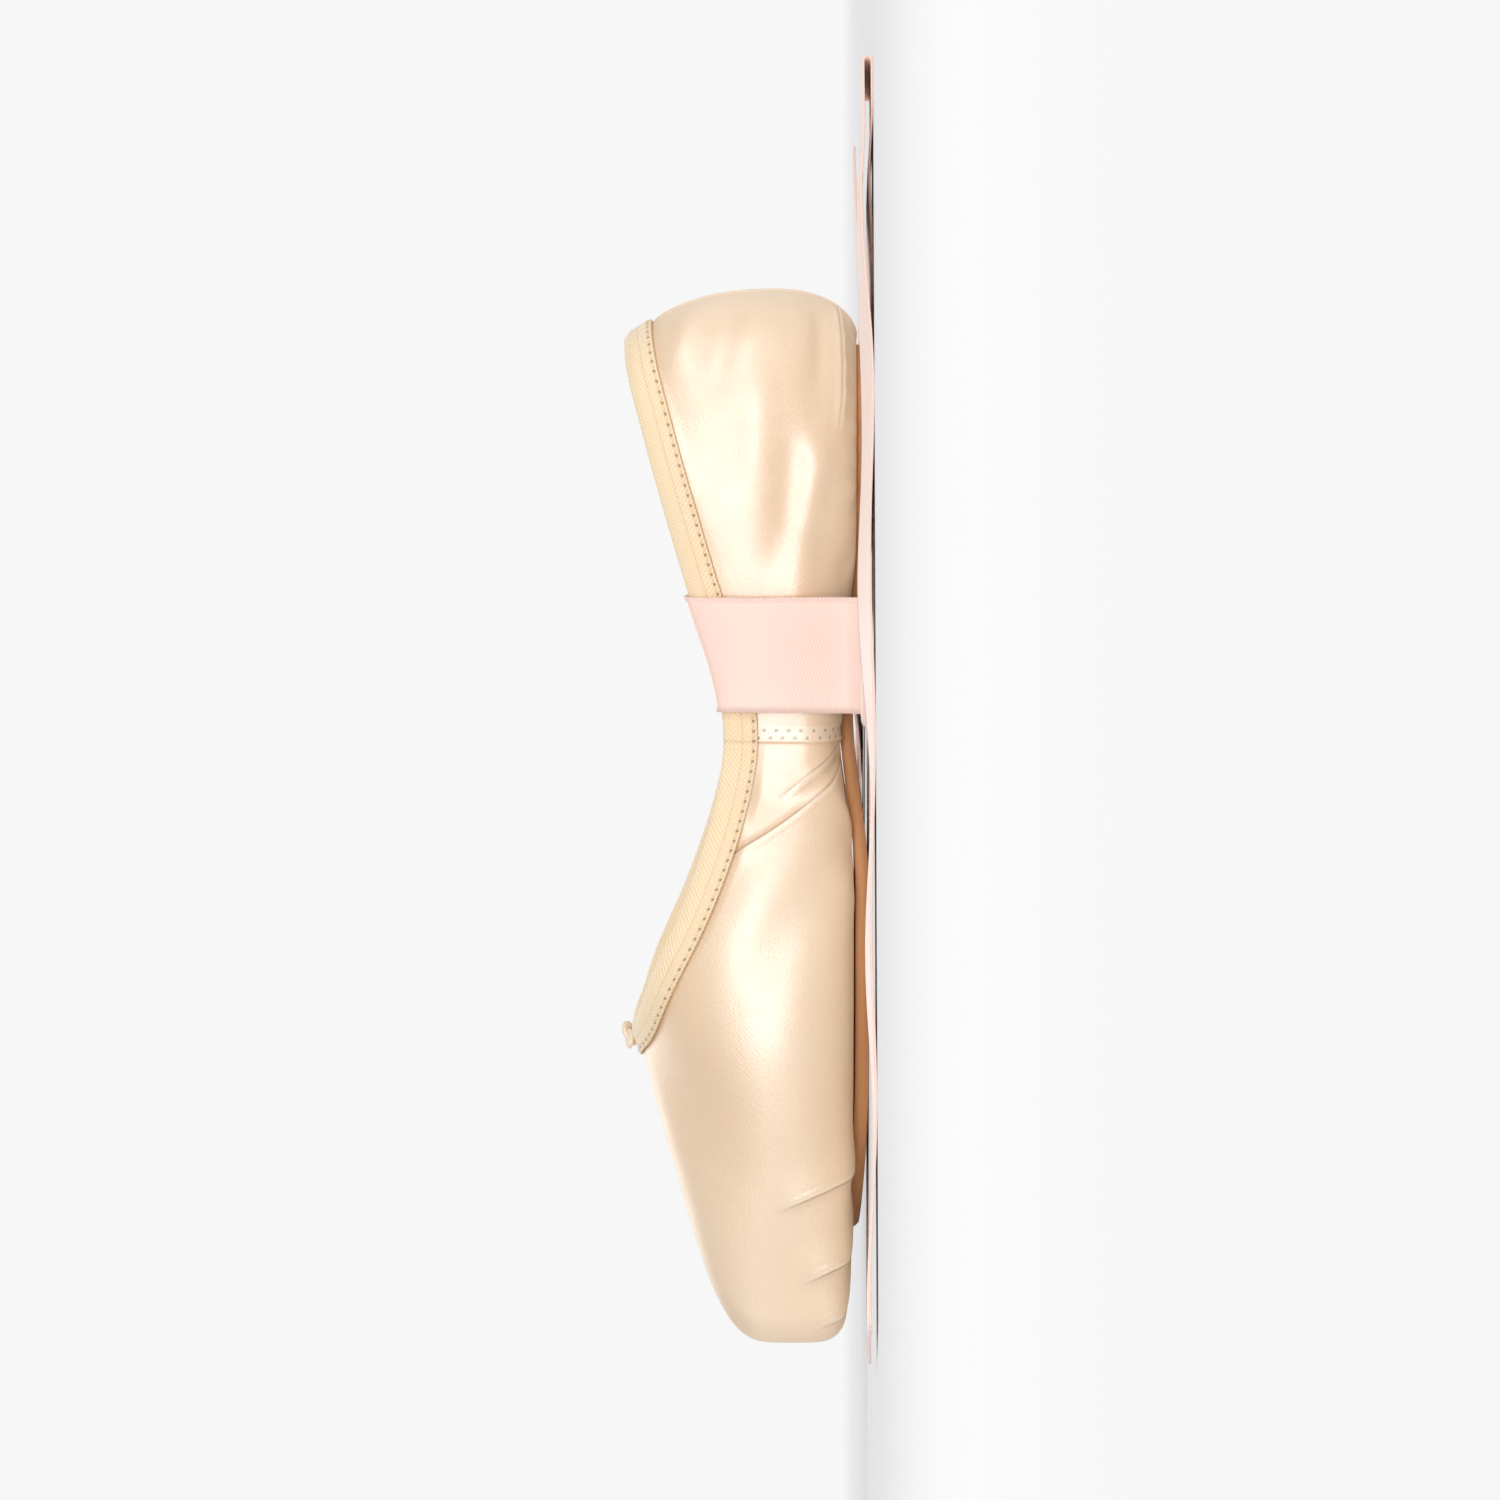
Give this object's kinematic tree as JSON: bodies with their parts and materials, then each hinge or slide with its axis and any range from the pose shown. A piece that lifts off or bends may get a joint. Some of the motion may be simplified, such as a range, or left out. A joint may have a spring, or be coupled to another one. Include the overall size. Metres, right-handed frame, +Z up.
{
  "type": "pointe shoe",
  "caption": "Satin pointe shoe with a stiff box and flat toe platform, a narrow leather sole, a taped collar with a drawstring, and long satin ribbons lying loose.",
  "frame": {"origin": "on the floor under the middle of the shoe's length and width, ribbons left out", "axes": "+X towards the toe platform, +Z up, +Y to the left of someone facing the toe"},
  "size_m": [0.2784, 0.3841, 0.0549],
  "materials": {
    "satin": "peach satin, soft sheen",
    "sole_leather": "tan suede-like leather, scored under the ball",
    "insole_cotton": "plain cotton, matte",
    "twill_tape": "herringbone twill, matte",
    "drawstring": "cotton cord, matte",
    "ribbon_satin": "pink satin, soft sheen"
  },
  "bodies": {
    "root": {"upper": "satin", "outsole": "sole_leather", "insole": "insole_cotton", "collar_binding": "twill_tape", "drawstring_knot": "drawstring", "ribbon_left": "ribbon_satin", "ribbon_right": "ribbon_satin"}
  },
  "joints": []
}
